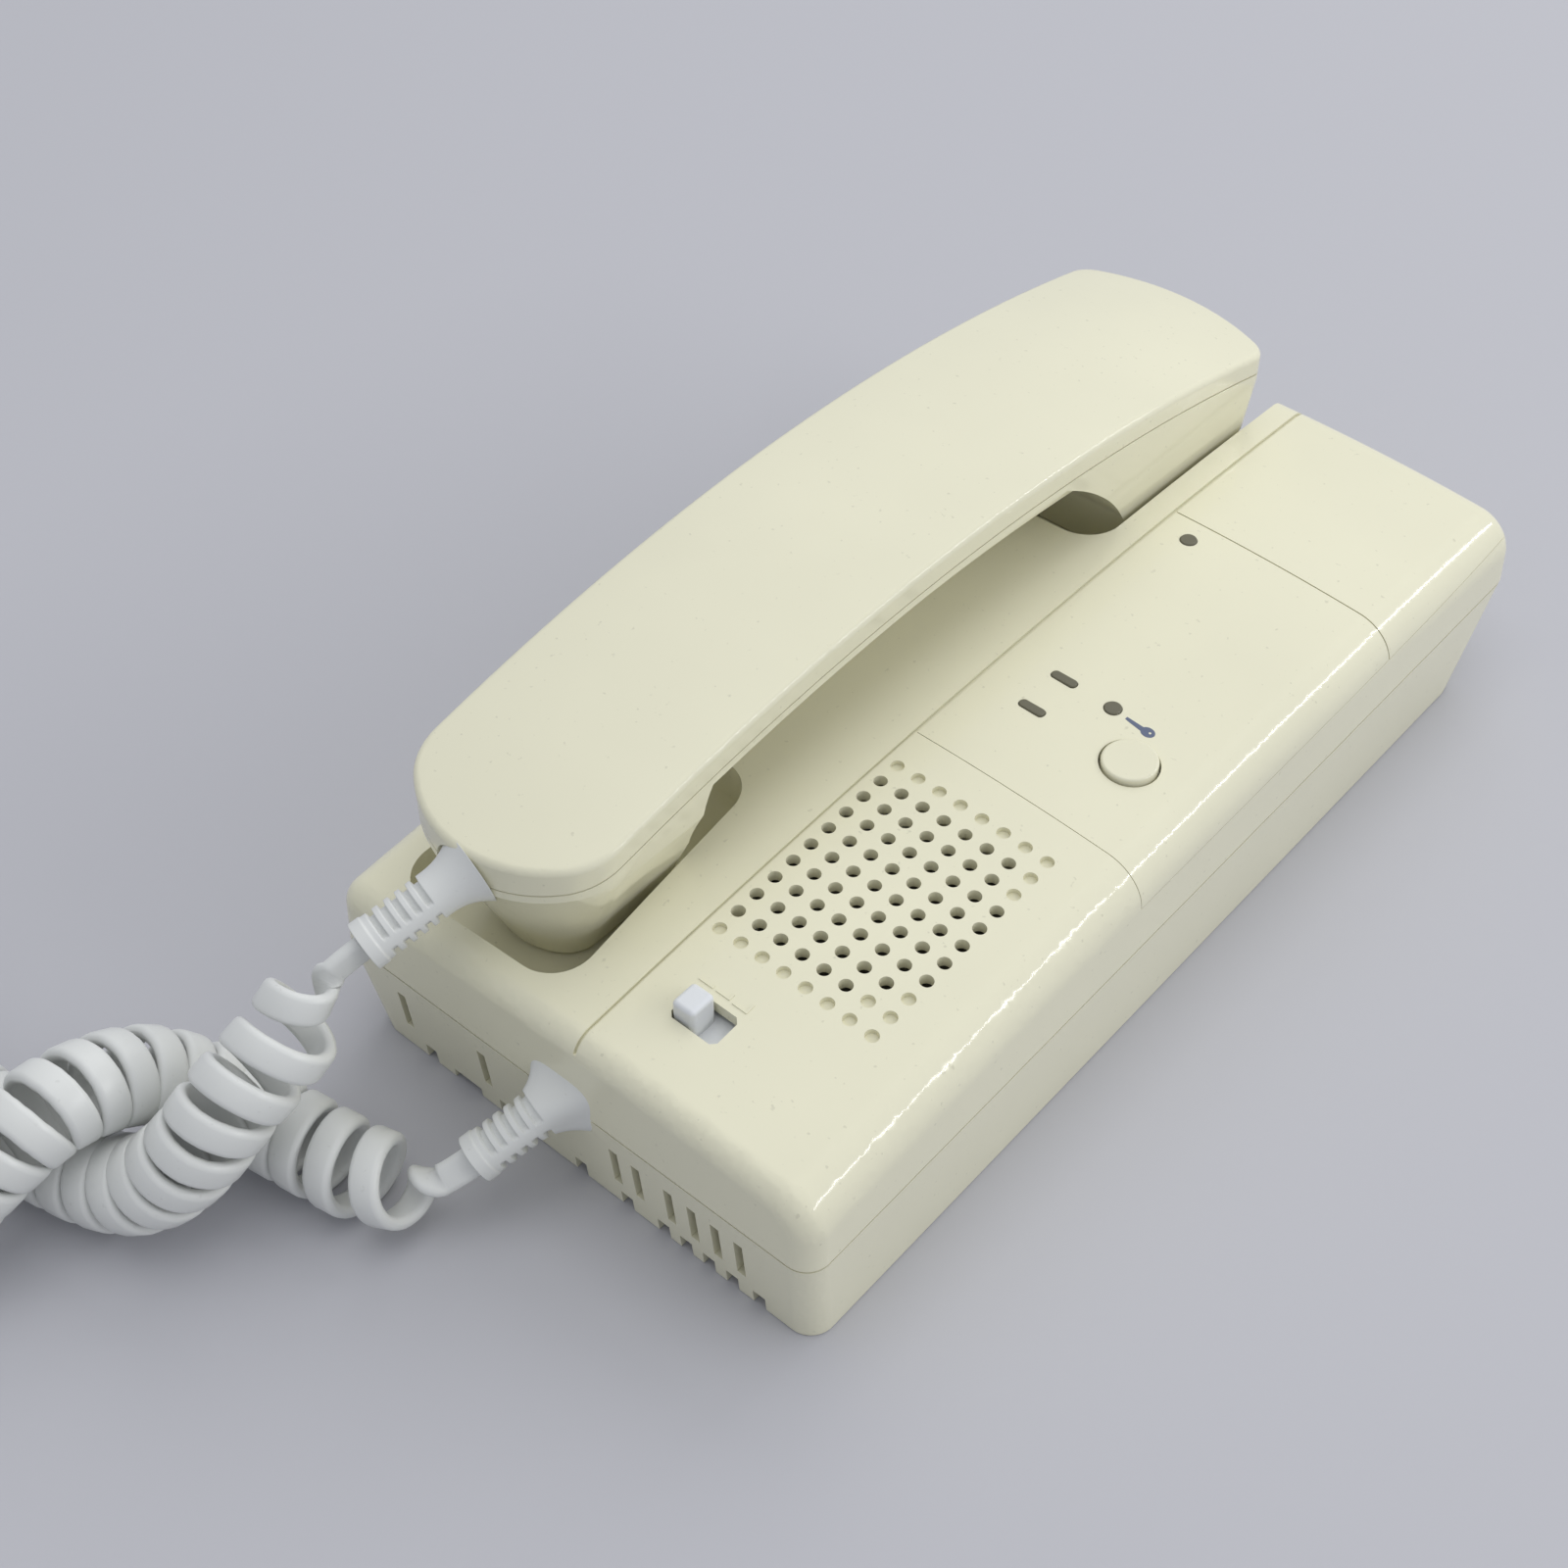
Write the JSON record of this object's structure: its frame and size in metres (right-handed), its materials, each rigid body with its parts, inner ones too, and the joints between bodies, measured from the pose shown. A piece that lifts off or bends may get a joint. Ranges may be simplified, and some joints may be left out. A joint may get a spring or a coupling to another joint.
{
  "type": "intercom master station",
  "caption": "Wall intercom master station with an arched handset on its cradle, a curly cord, a speaker lattice, call lamps, a release button and a volume slide.",
  "frame": {"origin": "centre of the case's seam outline, on the plane of the wall that the bracket's back rests on", "axes": "+Z out of the front of the station, away from the wall; +Y towards the upper end, where the handset's ear cup is; +X towards the side with the control panel"},
  "size_m": [0.188, 0.3413, 0.0693],
  "materials": {
    "ivory_plastic": "satin",
    "white_plastic": "satin",
    "clear_lens": "glossy",
    "steel": "zinc plated",
    "board": "satin",
    "black_plastic": "satin",
    "magnet": "matte",
    "paper_cone": "matte",
    "capacitor": "satin",
    "rubber": "matte",
    "aluminium": "satin",
    "wire": "matte"
  },
  "bodies": {
    "station": {"front_cover": "ivory_plastic", "control_panel": "ivory_plastic", "blank_panel": "ivory_plastic", "power_lamp": "clear_lens", "call_lamp": "clear_lens", "station_window_upper": "clear_lens", "station_window_lower": "clear_lens", "lamp_emitters": "black_plastic", "release_switch": "black_plastic", "rear_case": "ivory_plastic", "wall_bracket": "steel", "case_screws": "steel", "main_board": "board", "board_screws": "steel", "terminal_block": "black_plastic", "terminal_screws": "steel", "transformer_core": "steel", "transformer_coil": "black_plastic", "door_relay": "black_plastic", "filter_capacitors": "capacitor", "cord_connector": "white_plastic", "button_spring": "steel", "hook_switch": "black_plastic", "hook_spring": "steel", "speaker_frame": "steel", "speaker_cone": "paper_cone", "speaker_magnet": "magnet", "speaker_clamps": "steel", "speaker_screws": "steel", "control_board": "board", "control_board_screws": "steel", "volume_board": "board", "volume_board_screws": "steel", "volume_control": "black_plastic", "case_strain_relief": "white_plastic", "cord_tail": "white_plastic", "board_link_cable": "wire", "curly_cord": "white_plastic"},
    "handset": {"handset_outer_shell": "ivory_plastic", "handset_inner_shell": "ivory_plastic", "handset_screws": "steel", "receiver_gasket": "rubber", "receiver_capsule": "black_plastic", "microphone_grommet": "rubber", "microphone_capsule": "aluminium", "handset_weight": "steel", "handset_strain_relief": "white_plastic", "receiver_lead": "wire", "microphone_lead": "wire"},
    "hook_plunger": {"hook_plunger": "black_plastic"},
    "release_button": {"release_button": "ivory_plastic"},
    "volume_knob": {"volume_knob": "white_plastic"}
  },
  "joints": [
    {"name": "handset_lift", "type": "slide", "parent": "station", "child": "handset", "axis": [0, 0, 1], "range_m": [0, 0.06]},
    {"name": "hook_travel", "type": "slide", "parent": "station", "child": "hook_plunger", "axis": [0, 0, 1], "range_m": [0, 0.003], "deforming": ["hook_spring"]},
    {"name": "release_press", "type": "slide", "parent": "station", "child": "release_button", "axis": [0, 0, -1], "range_m": [0, 0.001], "stiffness_N_per_m": 1500, "deforming": ["button_spring"]},
    {"name": "volume_slide", "type": "slide", "parent": "station", "child": "volume_knob", "axis": [1, 0, 0], "range_m": [0, 0.0044]}
  ],
  "couplings": [
    {"joint": "hook_travel", "follows": "handset_lift", "ratio": 0.05}
  ]
}
